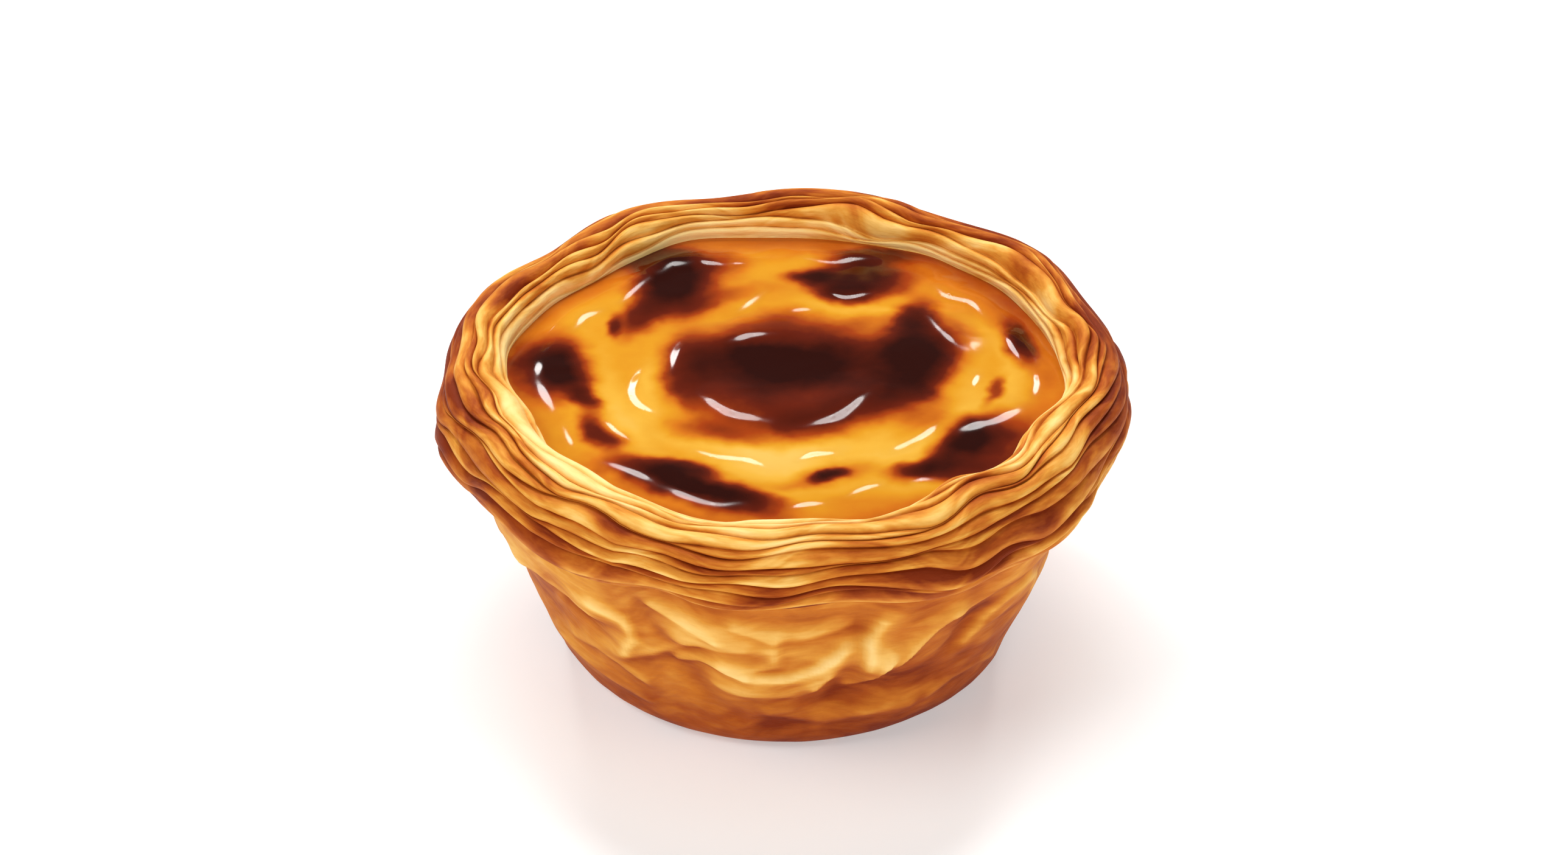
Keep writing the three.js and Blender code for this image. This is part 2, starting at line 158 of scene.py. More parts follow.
# Blisters: centre, half length, half width, turn in degrees and lift
BLISTERS = [
    [14.8, 5, 7.5, 4.4, 82, 0.4], [14.3, 14, 4, 2.4, 80, 0.12], [-12.6, 20.5, 6.5, 4.2, 75, 0.12],
    [-16.5, 13, 4.2, 1.8, 70, 0.12], [8, 21, 6.4, 4, 10, 0.1], [24.6, 7.6, 3.8, 2, 100, 0.12],
    [-23.6, 2, 5.6, 3.4, 95, 0.2], [-20, -10.2, 3.2, 1.8, 120, 0.12], [-10, -18.8, 9, 3.2, -27, 0.25],
    [4.8, -18.2, 3, 1.8, 18, 0.12], [18.2, -11.4, 6.4, 3.4, 52, 0.25], [14.2, -16.4, 3.6, 2, 20, 0.12],
    [-3, -6.5, 8, 3.6, -15, 0.2], [7.5, -6, 8, 3, 35, 0.2],
]

# What only the dressed meshes have
CASE_BEARINGS = 480
CUSTARD_BEARINGS = 560
CUSTARD_RINGS = 170
WALL_ROWS = 56
FOOT_ROWS = 4
OVERLAP = 0.3  # how far the custard's edge reaches into the pastry
CUP_GAP = 0.3  # between the custard's hidden side and the cup

# A leaf's section: part of its width, and rise. It ends in a rounded tip with a groove under it.
LEAF_SECTION = [
    (0, 0.1), (0.07, 0.32), (0.18, 0.58), (0.33, 0.8), (0.52, 0.95), (0.72, 1), (0.89, 0.88), (0.98, 0.54),
    (0.99, 0.24),
]
# Painted shade of the groove between two leaves, read across a leaf: it fades out from the leaf's inner edge,
# with a darker line beside that edge, and it begins again under the tip
GROOVE = {"fades_by": 0.6, "line": 0.8, "line_half": 0.12, "under_tip": 0.9, "tip_from": 0.96}
# Where a leaf's painted highlight lies across it, near its tip, and its half width
TIP_HIGHLIGHT = {"at": 0.74, "half": 0.18}
# How a leaf's thickness and its brownness change round the lip
LEAF_SWELL = {"seed": 40, "waves": (4, 7, 11, 16), "reach": 0.2}
LEAF_TINT = {"seed": 70, "waves": (4, 7, 12, 19), "reach": 0.16}
LEAF_SHADE = {"seed": 91, "reach": 0.15}  # each leaf's own

# How brown the lip is, by share of its section; the tuck under the lip is painted darkest, as shade
TOAST_LEVELS = [
    (0, 0.14), (0.08, 0.12), (0.18, 0.18), (0.25, 0.36), (0.33, 0.55), (0.42, 0.68), (0.52, 0.77),
    (0.62, 0.84), (0.72, 0.88), (0.82, 0.85), (0.9, 0.85), (0.95, 1), (1, 0.95),
]
# How much sooner the lip browns, in shares, by bearing in degrees
BROWNING = [
    (0, 0.08), (15, 0.13), (60, 0.19), (105, 0.13), (150, 0.17), (185, 0.02), (210, -0.08), (240, -0.17),
    (270, -0.18), (300, -0.15), (330, -0.13), (360, 0.08),
]
# Where the lip is browner or paler: bearing and half width in degrees, share and half width, and how much
LIP_PATCHES = [
    [15, 20, 0.12, 0.06, -0.08], [15, 20, 0.25, 0.07, 0.26], [15, 20, 0.52, 0.08, 0.18],
    [60, 22, 0.05, 0.08, -0.18], [60, 22, 0.24, 0.06, 0.04], [60, 22, 0.34, 0.06, -0.1],
    [105, 22, 0.04, 0.08, -0.14], [105, 22, 0.13, 0.05, -0.1], [105, 22, 0.34, 0.06, -0.12],
    [150, 20, 0.02, 0.06, -0.25], [150, 22, 0.24, 0.05, 0.05], [150, 22, 0.4, 0.09, -0.34],
    [192, 16, 0.02, 0.06, 0.3], [196, 18, 0.22, 0.07, 0.12], [196, 16, 0.53, 0.06, -0.16],
    [240, 24, 0.22, 0.06, 0.1], [240, 24, 0.65, 0.14, -0.24], [272, 20, 0.22, 0.06, 0.14],
    [272, 22, 0.49, 0.08, -0.12], [272, 16, 0.8, 0.06, 0.34], [300, 17, 0.3, 0.12, 0.44],
    [302, 18, 0.5, 0.09, -0.08], [302, 18, 0.7, 0.08, 0.2], [330, 19, 0.18, 0.1, 0.46],
    [332, 20, 0.5, 0.12, -0.08], [334, 20, 0.78, 0.09, -0.38],
]
FRONT_TUCK = {"from": 0.68, "to": 0.82, "paler": 0.28}  # the lip's lowest leaves at the front, by share
GROOVE_PAINTED_SHADE = 0.11  # how much browner a leaf is painted in its groove, as shade
TIP_PAINTED_HIGHLIGHT = 0.18  # how much paler it is painted at its tip, as a highlight
INSIDE_TOAST = 0.2  # of the case's hidden inside

# Where the side wall is browner or paler: bearing and half width in degrees, and how much
WALL_BROWNING = [[306, 22, 0.13], [345, 20, -0.03], [205, 20, -0.08], [256, 20, -0.03], [90, 60, 0.04]]
# How brown the side wall is, by share of its height
WALL_TOAST = [(0, 0.9), (0.1, 0.88), (0.26, 0.76), (0.42, 0.69), (0.6, 0.68), (0.8, 0.61), (1, 0.64)]
# Painted highlights and shade on the side wall: how much paler it is with each millimetre that its relief
# rises and that its fine unevenness does, where it looks up, and in a line on each crease's crest
RISE_HIGHLIGHT = 0.26
FINE_HIGHLIGHT = 0.36
LOOK_UP_HIGHLIGHT = {"step": 0.7, "from": 0.05, "toast": 0.26}
CREST_HIGHLIGHT = {"half": 0.6, "toast": 0.34}
# The wall's fine unevenness: noise cells round it and up it, how far they stray, both layers' heights, and
# the seeds of the straying, the ridges and the grain
UNEVEN = {
    "round": 24, "up": 6, "stray": 0.8, "squeeze": 1.3, "ridges": 0.14, "grain": 0.05, "finer": 3,
    "seeds": (31, 33, 39),
}
WALL_MOTTLE = {"toast": 0.05, "seed": 35}
WALL_STRAND_RATE = 0.5  # how many leaves' worth of fibres run on in each millimetre of the wall
FIBRE_FADE = 1.5  # how many leaves below the lip its fibres fade over
FIBRE_LEAST = 0.25

# How burnt the skin is, patch by patch: centre, half length, half width, turn in degrees and depth of burn
BURNS = [
    [-0.8, 4, 8.4, 6, 0, 0.94], [7, 2, 8, 6.4, 0, 0.76], [-3, 0, 6.5, 5, -10, 0.7],
    [14.8, 4.5, 7.5, 4.6, 80, 0.96], [14.5, 12.5, 4.2, 2.2, 80, 0.78], [-2.5, -6.5, 8.5, 4, -15, 0.6],
    [7, -6, 8.5, 3.4, 35, 0.66], [-10.2, 2, 7.4, 3.2, 90, 0.66], [2, 11.5, 9.5, 2.6, 0, 0.38],
    [14, -3, 6, 2.5, 55, 0.62], [15.5, -7.6, 4.5, 2.4, 50, 0.36], [-7, -10.6, 5.6, 2, -20, 0.5],
    [-12.6, 20.5, 6.6, 4.2, 80, 0.97], [-14.5, 25.5, 4.2, 2.6, 20, 0.72], [-16.5, 13, 4.6, 1.9, 70, 0.62],
    [-7.5, 24, 3.6, 2.8, 0, 0.3], [-9, 16, 5, 2.2, 30, 0.28], [9.5, 22.2, 4.6, 4, 20, 0.86],
    [3.8, 21.3, 3.2, 1.9, 0, 0.86], [7, 18.5, 3.6, 2, 0, 0.8], [10, 26, 5, 1.6, 0, 0.4],
    [26, 7.6, 3.7, 1.7, 100, 0.86], [-25.3, 2.2, 5.6, 3.6, 95, 0.96], [-22, -3.5, 3.3, 1.4, 115, 0.76],
    [-20.3, -10.2, 3.2, 1.5, 120, 0.68], [-10.5, -20, 9.5, 2.7, -27, 0.95], [-11, -17, 4, 1.5, -5, 0.7],
    [-4.5, -22.5, 4, 1.8, -15, 0.7], [4.8, -18.6, 2.2, 1.1, 20, 0.85], [5, -18.3, 4.6, 2, 18, 0.4],
    [19.5, -12, 5.8, 2.6, 52, 0.94], [14.5, -17.3, 3.6, 1.6, 20, 0.8], [18.5, -17, 3.5, 2, 25, 0.66],
    [23.5, -12.5, 6.5, 2.2, 62, 0.48], [-19.2, 10.8, 2.2, 0.8, 88, 0.62], [23.5, -2, 3, 0.8, 72, 0.5],
    [9, -23.5, 4, 2, 15, 0.13],
]

# How far the burns' outlines stray: size of the noise's cells, reach, and its seeds along x and y
BURN_STRAYS = [(6, 1.5, 3, 5), (2, 0.5, 9, 11)]
BURN_EDGE = {"none": 1.65, "full": 0.25}  # in half widths
# The pale ring round the dome, fainter behind
PALE_RING = {"radius": 14.5, "half": 3.4, "stretch": 1.2, "shift": 1}
PALE_FRONT = {"full_y": -12, "faint_y": 4, "faint": 0.35}
# Swirls round the dome: cells round it, millimetres across it, and how far and how coarsely they stray
SWIRLS = {"round": 14, "across": 2.2, "seed": 63}
SWIRL_STRAY = {"reach": 1.2, "round": 9, "across": 5, "seed": 61}
# How burnt the custard is between the burns, and what adds to it
GROUND = {"usual": 0.24, "pale": 0.17, "back": 0.06, "swirl": 0.1, "edge": 0.2, "front_edge": 0.16}
BACK_Y = (0, 20)
EDGE_REACH = (0.8, 0.98)
FRONT_EDGE_Y = (-18, -27)
WRINKLES = {"height": 0.04, "long": 3.2, "wide": 2.6, "stray": 0.8, "stray_size": 4, "seeds": (21, 23, 25)}
WRINKLE_FADE = 0.08  # how near the pastry the wrinkles fade out
RUN_FADE = 0.1

# Raised runs of glaze: the half width of the steep side, which is on the right of the way the run goes, and
# the run's points
RUNS = [
    (1.4, [(-14.4, 23.3), (-13.3, 24.7), (-11.4, 25.2)]),
    (1.3, [(-18.6, 16.9), (-17.3, 19.3), (-16.2, 21.2)]), (1.0, [(-9.8, 25.6), (-8.6, 25.1), (-7.4, 24.9)]),
    (0.8, [(-6.2, 24.8), (-4.9, 25)]), (1.3, [(-23.8, 11.4), (-22.8, 13.5), (-21, 14.8)]),
    (0.9, [(-24.8, 9), (-25.2, 7.5), (-25.7, 6.2)]), (1.1, [(-26.1, 3), (-26.1, 1.8)]),
    (1.2, [(-25.8, -0.6), (-24.9, -3.2), (-24.2, -5)]),
    (0.9, [(-22.9, -9.4), (-22.6, -10.6), (-22.1, -12)]),
    (1.0, [(-18.2, -8.5), (-17.2, -10), (-16.1, -11.2)]),
    (1.1, [(-18.4, -15.4), (-15.6, -17.2), (-13.6, -18.8)]),
    (1.2, [(-12.2, -20), (-9.6, -21.9), (-7, -23.1), (-5, -22.9)]),
    (1.2, [(-15, 1.5), (-15.7, -2), (-15, -4.6), (-13.2, -6.1)]),
    (1.3, [(-10.6, 6.9), (-11.3, 3.5), (-11.8, 0.6)]), (1.2, [(-6.2, 7.8), (-4, 9), (-1.5, 9.5)]),
    (1.2, [(-7.8, -4), (-5.5, -6.4), (-2.3, -7.5)]), (1.2, [(2.6, -8.6), (5.5, -7), (8, -3.8)]),
    (1.2, [(-9.8, -13), (-7, -14.2), (-4, -14.7), (-2.2, -15.6)]),
    (1.0, [(1.5, -14.6), (2.8, -13.8), (4.8, -13.5)]), (1.3, [(11.9, -12.5), (14, -11), (15.9, -8.8)]),
    (1.0, [(6.6, -21.4), (7.8, -20.5), (9.2, -19.8)]), (0.9, [(1.2, -23.5), (2.2, -23.2), (3.6, -23)]),
    (1.0, [(13.5, -18.8), (14.4, -18.5), (15.4, -18.4)]),
    (1.2, [(18.8, -9.2), (20.5, -8.3), (22.6, -7), (24, -5.8)]),
    (0.9, [(26.6, -2), (26.9, -0.5), (26.9, 1)]), (0.9, [(25.2, 8.6), (25.7, 6.8), (26.4, 4.8)]),
    (1.2, [(17, 12.2), (18, 9.5), (19.4, 7.2)]),
    (1.3, [(18, 19.3), (18.8, 17.8), (21.3, 16.6), (22.8, 14)]),
    (1.1, [(2.9, 26.1), (5.5, 25.2), (7.6, 26), (9.8, 26.2)]), (0.8, [(5.3, 18.3), (7, 17.6), (9.1, 18.3)]),
    (1.4, [(-5.8, 14.7), (-4.5, 16.5), (-3.2, 18.4)]), (1.2, [(1.4, 15.1), (2.3, 15.2)]),
    (0.9, [(20.1, -0.6), (20.3, 0.1)]),
]
RUN_GENTLE = 3.2  # half width of a run's gentle side, in steep ones, less where the pastry is near
RUN_ROOM = 0.8  # how much of the way to the pastry that side may take
RUN_BEADS = {"less": 0.1, "length": 1.5, "full": 0.8, "seed": 71}  # how a run leans less here and there
RUN_TAPER = 0.25  # how much less a run leans at its ends
STEEPEST = math.sqrt(2 / math.e)  # slope of a bump where it is steepest, beside its lift over its half width

NOISE_ROUGHNESS = 0.55  # of the noise in both materials
# Noise stretched along the leaves: cells round the tart and across a leaf, detail, and reach in toast
STRANDS = {"round": 70, "leaf": 2.6, "detail": 3, "toast": 0.2}
FIBRES = {"round": 150, "leaf": 7, "detail": 3, "toast": 0.1}
STROKES = {"round": 28, "leaf": 0.9, "detail": 2, "toast": 0.55}
ASLANT = {"scale": 90, "detail": 1, "leaves": 2.6}  # how the strokes wander from leaf to leaf
WALL_STROKES = 0.35  # how bold the strokes are where no fibres show, beside 1 on the lip
MOTTLE = {"scale": 260, "detail": 5, "toast": 0.16}
SPECKLE = {"scale": 900, "detail": 5}
PASTRY_RELIEF = {"strokes": -2.0, "fibres": 0.5, "speckle": 0.15, "distance": 0.00025, "strength": 0.5}
UNDERBAKED = 0.25  # how far below 0 the toast still makes the pastry paler
# The pastry's colours from that toast to a toast of 1, and the custard's by burn, each in 0 to 255 a channel
PASTRY_COLOURS = [
    (0.0, (255, 226, 154)), (0.2, (252, 212, 134)), (0.36, (242, 190, 100)), (0.52, (224, 153, 60)),
    (0.68, (199, 114, 36)), (0.84, (166, 77, 22)), (1.0, (126, 45, 12)),
]
CUSTARD_COLOURS = [
    (0.02, (226, 182, 88)), (0.14, (222, 168, 58)), (0.28, (212, 146, 33)), (0.42, (198, 110, 24)),
    (0.57, (156, 60, 14)), (0.73, (96, 28, 10)), (0.95, (42, 9, 4)),
]
CUSTARD_GRAIN = {"scale": 420, "detail": 5, "burn": 0.04, "distance": 0.0001, "strength": 0.1}
WORLD_STRENGTH = 0.08
FLOOR_GLOW = 0.34
LIGHT_TINT = (1.0, 0.985, 0.965)
# Each light's name, azimuth, elevation, distance, width, height and power
LIGHTS = [
    ("key", -62, 46, 1.0, 0.5, 0.5, 4.4), ("front", 8, 16, 1.0, 1.0, 0.5, 3.8),
    ("top", -10, 80, 1.0, 0.5, 0.5, 1.0), ("fill", 66, 22, 1.0, 0.6, 0.5, 1.5),
]
# An arch of panels, edge to edge behind the tart. Glaze mirrors each where it leans by GLAZE_TILT to the
# panel's bearing.
ARCH = {"bearings": range(-90, 91, 20), "step": 20, "distance": 0.8, "power_per_area": 44}
GLAZE_TILT = math.radians(19)
TILT_BAND = math.radians(2.4)  # how far the glaze may lean from that tilt and still mirror the arch
# Small panels round the front that only gloss shows, so that the glaze also glints from other sides
GLINTS = {
    "azimuths": range(-120, 121, 60), "elevation": 54, "distance": 0.8, "side": 0.14, "power_per_area": 40,
}
CAMERA_ELEVATION = math.radians(34.48)
CAMERA_DISTANCE = 520
CAMERA_TARGET_Z = 15
CAMERA_AIM_Z = 25.4
CAMERA_LENS = 107.6


def draw(a, b):
    """The same number in 0 to 1 each time for a pair of numbers."""
    x = np.sin(np.asarray(a) * 127.1 + np.asarray(b) * 311.7) * 43758.5453
    return x - np.floor(x)


def noise(x, y, seed, around=None):
    """Smooth noise in -1 to 1 over a plane, one cell to a unit. It repeats along x after around cells."""
    cell_x, cell_y = np.floor(x), np.floor(y)
    fx, fy = x - cell_x, y - cell_y
    fx, fy = fx * fx * (3 - 2 * fx), fy * fy * (3 - 2 * fy)
    columns = [cell_x, cell_x + 1] if around is None else [cell_x % around, (cell_x + 1) % around]
    corner = [[draw(column + 61 * seed, cell_y + j - 37 * seed) for column in columns] for j in (0, 1)]
    low = corner[0][0] * (1 - fx) + corner[0][1] * fx
    high = corner[1][0] * (1 - fx) + corner[1][1] * fx
    return 2 * (low * (1 - fy) + high * fy) - 1


def rough(x, y, seed, octaves=4):
    """Noise with finer and finer layers."""
    return sum(noise(x * 2**k, y * 2**k, seed + k) * 0.5 ** (k + 1) for k in range(octaves))


def waves(bearing, seed, counts, reach=1.0):
    """A wavy line round the axis, about -reach to reach."""
    parts = [np.cos(n * bearing + TURN * draw(seed, n)) for n in counts]
    return reach * sum(parts) / math.sqrt(len(counts))


def smooth(low, high, x):
    """A smooth step from 0 at low to 1 at high."""
    t = np.clip((x - low) / (high - low), 0, 1)
    return t * t * (3 - 2 * t)


def lobes(table, bearing):
    """Sum of soft bumps round the axis, each with its bearing and half width in degrees and its push."""
    total = np.zeros_like(bearing)
    for at, half, push in table:
        away = np.arctan2(np.sin(bearing - math.radians(at)), np.cos(bearing - math.radians(at)))
        total += push * np.exp(-((away / math.radians(half)) ** 2))
    return total


def turned(x, y, degrees):
    """Distances along and across a direction."""
    turn = math.radians(degrees)
    return x * math.cos(turn) + y * math.sin(turn), y * math.cos(turn) - x * math.sin(turn)


def bumps(table, x, y):
    """Sum of long soft bumps, each with its centre, half length, half width, turn and lift."""
    total = np.zeros_like(x)
    for cx, cy, long, wide, degrees, lift in table:
        along, across = turned(x - cx, y - cy, degrees)
        total += lift * np.exp(-((along / long) ** 2) - (across / wide) ** 2)
    return total


def sizes(bearing):
    """The main sizes of the section at each bearing."""
    lip, edge = lobes(LIP_LOBES, bearing), lobes(CUSTARD_LOBES, bearing)
    return {
        "edge": CUSTARD_RADIUS + edge,
        "crest": CREST_RADIUS + CREST_FOLLOW * (lip + edge),
        "crest_z": CREST_Z + lobes(CREST_LOBES, bearing),
        "lip": LIP_RADIUS + lip,
        "lip_z": LIP_WIDEST_Z + lobes(WIDEST_LOBES, bearing),
        "tuck": TUCK_RADIUS + TUCK_FOLLOW * lip,
        "drop": TUCK_DROP - lobes(TUCK_LOBES, bearing),
    }


def lip_section(share, s):
    """Radius, height and outward normal of the smooth lip, from the custard's edge (0) to the tuck (1)."""
    inner, outer = share < CREST_SHARE, share < WIDEST_SHARE
    centre_r = np.where(outer, s["crest"], s["tuck"])
    centre_z = np.where(inner, CUSTARD_EDGE_Z, s["lip_z"])
    outside_r = np.where(outer, s["lip"] - s["crest"], s["lip"] - s["tuck"])
    outside_z = np.where(outer, s["crest_z"] - s["lip_z"], s["drop"])
    arm_r = np.where(inner, s["crest"] - s["edge"], outside_r)
    arm_z = np.where(inner, s["crest_z"] - CUSTARD_EDGE_Z, outside_z)
    rising = math.pi - math.pi / 2 * share / CREST_SHARE
    falling = math.pi / 2 * (1 - (share - CREST_SHARE) / (WIDEST_SHARE - CREST_SHARE))
    tucking = -TUCK_TURN * (share - WIDEST_SHARE) / (1 - WIDEST_SHARE)
    turn = np.where(inner, rising, np.where(outer, falling, tucking))
    normal_r, normal_z = np.cos(turn) / arm_r, np.sin(turn) / arm_z
    length = np.hypot(normal_r, normal_z)
    radius, height = centre_r + arm_r * np.cos(turn), centre_z + arm_z * np.sin(turn)
    return radius, height, normal_r / length, normal_z / length


def edge_swing(edge, bearing):
    """How far one edge between two leaves strays from its usual place, in leaf widths."""
    swing = np.zeros_like(bearing)
    if edge in (0, len(LEAF_WIDTHS)):
        return swing
    for j, (count, reach) in enumerate(EDGE_WAVES):
        swing += reach * np.cos(count * bearing + TURN * (draw(j, WAVE_DRAW) + draw(edge + EDGE_DRAW, j)))
    for j, (count, reach) in enumerate(RIPPLES):
        swing += reach * np.cos(count * bearing + TURN * draw(j, RIPPLE_DRAW) + RIPPLE_LAG * edge)
    return swing


def leaf_edges(bearing):
    """Shares of the section where each leaf begins, and where the last one ends."""
    swings = [edge_swing(edge, bearing) for edge in range(len(LEAF_WIDTHS) + 1)]
    widths = [
        np.maximum(THINNEST_LEAF, usual * (1 + swings[leaf + 1] - swings[leaf]))
        for leaf, usual in enumerate(LEAF_WIDTHS)
    ]
    edges = np.cumsum([np.zeros_like(bearing), *widths], axis=0)
    return edges / edges[-1]


def nearest(x, y, points):
    """The gap to a line through points, and how far to the left of it."""
    gap, left = np.full_like(x, np.inf), np.zeros_like(x)
    for (ax, ay), (bx, by) in zip(points, points[1:]):
        span = math.hypot(bx - ax, by - ay)
        ahead_x, ahead_y = (bx - ax) / span, (by - ay) / span
        along = np.clip((x - ax) * ahead_x + (y - ay) * ahead_y, 0, span)
        away_x, away_y = x - ax - along * ahead_x, y - ay - along * ahead_y
        length = np.hypot(away_x, away_y)
        left = np.where(length < gap, ahead_x * away_y - ahead_y * away_x, left)
        gap = np.minimum(gap, length)
    return gap, left


def crease_rise(gap, left, steep, gentle):
    """A crease's rise, 1 on its line. It falls off over gentle on the line's left and steep on its right."""
    half = (steep + gentle + (gentle - steep) * left / np.maximum(gap, 1e-9)) / 2
    return np.exp(-((gap / half) ** 2))


def crease_gaps(bearing, z):
    """Each crease's lift and half widths, with the gap to its line and how far to the left a place lies."""
    degrees = np.degrees(bearing)
    near = np.where(degrees > NEAR_HALF, degrees, FAR_MIRROR - degrees)
    across = np.radians(near) * WALL_MID_RADIUS
    for lift, steep, gentle, points in CREASES:
        line = [(math.radians(at) * WALL_MID_RADIUS, height * WALL_HEIGHT) for at, height in points]
        yield lift, steep, gentle, *nearest(across, z, line)


def wall_relief(bearing, z, top_z):
    """The relief of the side wall. It fades out where the wall meets the lip and the floor."""
    up = z / top_z
    relief = np.zeros_like(bearing)
    for n, lean, depth, phase in WALL_FOLDS:
        relief += depth * np.cos(n * bearing + TURN * (lean * up + phase))
    for lift, steep, gentle, gap, left in crease_gaps(bearing, z):
        relief += lift * crease_rise(gap, left, steep, gentle)
    return relief * np.minimum(1, np.minimum(FADE_ABOVE_FOOT * up, FADE_UNDER_LIP * (1 - up)))


def wall_crests(bearing, z):
    """How near a place is to the crest of a raised crease, in millimetres of its lift, for the crest's
    painted highlight.
    """
    near = np.zeros_like(bearing)
    for lift, _, _, gap, _ in crease_gaps(bearing, z):
        near += max(0, lift) * np.exp(-((gap / CREST_HIGHLIGHT["half"]) ** 2))
    return near


def cup_row(share, gap, bearing):
    """Radius and height of the inside of the case at a share of the way up from the floor."""
    lobe = sizes(bearing)["edge"] - CUSTARD_RADIUS
    radius = FLOOR_RADIUS + (CUSTARD_RADIUS - FLOOR_RADIUS) * share**CUP_ROUNDING + lobe * share**2 - gap
    return radius, np.full_like(bearing, FLOOR_Z + (CUSTARD_EDGE_Z - FLOOR_Z) * share)


def skin_height(x, y, reach):
    """Height of the custard's skin. reach is 0 on the axis and 1 at the pastry."""
    across, deep = (x - DOME["x"]) / DOME["across"], (y - DOME["y"]) / DOME["deep"]
    dome = np.exp(-(across**4) - deep**4)
    hollow = np.exp(-(across**2 + deep**2) / HOLLOW_SIZE**2)
    ring = np.exp(-(((np.hypot(x, y) - RING["radius"]) / RING["half"]) ** 2))
    dip = DIP["depth"] * np.exp(-(((reach - DIP["reach"]) / DIP["half"]) ** 2))
    raised = DOME["lift"] * dome - DOME["sink"] * hollow + RING["lift"] * ring + bumps(BLISTERS, x, y)
    return CUSTARD_EDGE_Z + np.minimum(1, (1 - reach) / SETTLED_BAND) * (raised - dip)


def ring_mesh(name, radii, heights, bearing, attributes):
    """A closed mesh through rows that each go once round the axis, with a fan to the axis at both ends."""
    rows, count = radii.shape
    x, y = radii * np.cos(bearing), radii * np.sin(bearing)
    points = np.stack([x, y, heights], axis=-1).reshape(-1, 3)
    ends = [[0, 0, heights[0].mean()], [0, 0, heights[-1].mean()]]
    points = np.concatenate([points, ends]) * MM
    index = np.arange(rows * count).reshape(rows, count)
    after = np.roll(index, -1, axis=1)
    quads = np.stack([index[:-1], index[1:], after[1:], after[:-1]], axis=-1).reshape(-1, 4)
    first, last = rows * count, rows * count + 1
    start_fan = [(first, int(a), int(b)) for a, b in zip(index[0], after[0])]
    end_fan = [(last, int(b), int(a)) for a, b in zip(index[-1], after[-1])]
    mesh = bpy.data.meshes.new(name)
    mesh.from_pydata(points.tolist(), [], quads.tolist() + start_fan + end_fan)
    for key, values in attributes.items():
        layer = mesh.attributes.new(key, "FLOAT", "POINT")
        on_axis = [values[0].mean(), values[-1].mean()]
        layer.data.foreach_set("value", np.append(values.reshape(-1), on_axis))
    mesh.shade_smooth()
    made = bpy.data.objects.new(name, mesh)
    bpy.context.scene.collection.objects.link(made)
    return made


def leaf_groove_shade(part):
    """How much painted shade a part of a leaf's width takes from the groove between two leaves."""
    line = GROOVE["line"] * math.exp(-((part / GROOVE["line_half"]) ** 2))
    under_tip = GROOVE["under_tip"] if part > GROOVE["tip_from"] else 0
    return float(smooth(GROOVE["fades_by"], 0, part)) + line + under_tip


def leaf_tip_highlight(part):
    """How much painted highlight a part of a leaf's width takes near its tip."""
    return math.exp(-(((part - TIP_HIGHLIGHT["at"]) / TIP_HIGHLIGHT["half"]) ** 2))


def leaf_waves(table, leaf, bearing):
    """How far a leaf differs from its usual thickness or brownness round the lip."""
    return waves(bearing, table["seed"] + leaf, table["waves"], table["reach"])


def lip_toast(share, bearing):
    """How brown the lip is before its leaves' tints, the painted shade of their grooves and their painted tip
    highlights are counted in.
    """
    sooner = np.interp(np.degrees(bearing), *np.array(BROWNING).T)
    front = FRONT_TUCK["paler"] * np.maximum(0, -np.sin(bearing))
    toast = np.interp(share + sooner, *np.array(TOAST_LEVELS).T)
    toast -= front * smooth(FRONT_TUCK["from"], FRONT_TUCK["to"], share)
    for at, half, middle, reach, push in LIP_PATCHES:
        toast += lobes([[at, half, push]], bearing) * np.exp(-(((share - middle) / reach) ** 2))
    return toast


def lip_rows(bearing):
    """Rows of the lip from the custard's edge: radius, height, toast with painted shade and highlights,
    groove and place across the leaves.
    """
    s, edges, rows = sizes(bearing), leaf_edges(bearing), []
    for leaf in range(len(LEAF_WIDTHS)):
        width = edges[leaf + 1] - edges[leaf]
        fullness = np.minimum(1, width * len(LEAF_WIDTHS))
        depth = LEAF_DEPTH * fullness * (1 + leaf_waves(LEAF_SWELL, leaf, bearing))
        shade = LEAF_SHADE["reach"] * (2 * draw(leaf, LEAF_SHADE["seed"]) - 1)
        tint = shade + leaf_waves(LEAF_TINT, leaf, bearing)
        for part, rise in LEAF_SECTION:
            share = edges[leaf] + part * width
            r, z, out_r, out_z = lip_section(share, s)
            settle = min(part, 1) if leaf == 0 else 1
            lift = depth * (rise - 0.5) * settle
            groove = np.full_like(bearing, leaf_groove_shade(part))
            toast = lip_toast(share, bearing) + tint
            # Painted shade in the groove and a painted highlight at the tip
            toast += GROOVE_PAINTED_SHADE * groove - TIP_PAINTED_HIGHLIGHT * leaf_tip_highlight(part) * fullness
            across = np.full_like(bearing, leaf + part)
            rows.append((r + lift * out_r, z + lift * out_z, toast, groove, across))
    return rows


def wall_cells(bearing, up):
    """Place on the side wall in noise cells."""
    return bearing / TURN * UNEVEN["round"], up * UNEVEN["up"]


def wall_unevenness(bearing, up):
    """The wall's fine ridges and grain."""
    along, height = wall_cells(bearing, up)
    cells, finer = UNEVEN["round"], UNEVEN["finer"]
    stray_seed, ridge_seed, grain_seed = UNEVEN["seeds"]
    stray = UNEVEN["stray"] * noise(along / 2, height / 2, stray_seed, cells // 2)
    ridges = 1 - 2 * np.abs(noise(along, height * UNEVEN["squeeze"] + stray, ridge_seed, cells))
    grain = noise(finer * along, finer * height + stray, grain_seed, finer * cells)
    return UNEVEN["ridges"] * ridges * np.minimum(1, FADE_ABOVE_FOOT * up) + UNEVEN["grain"] * grain


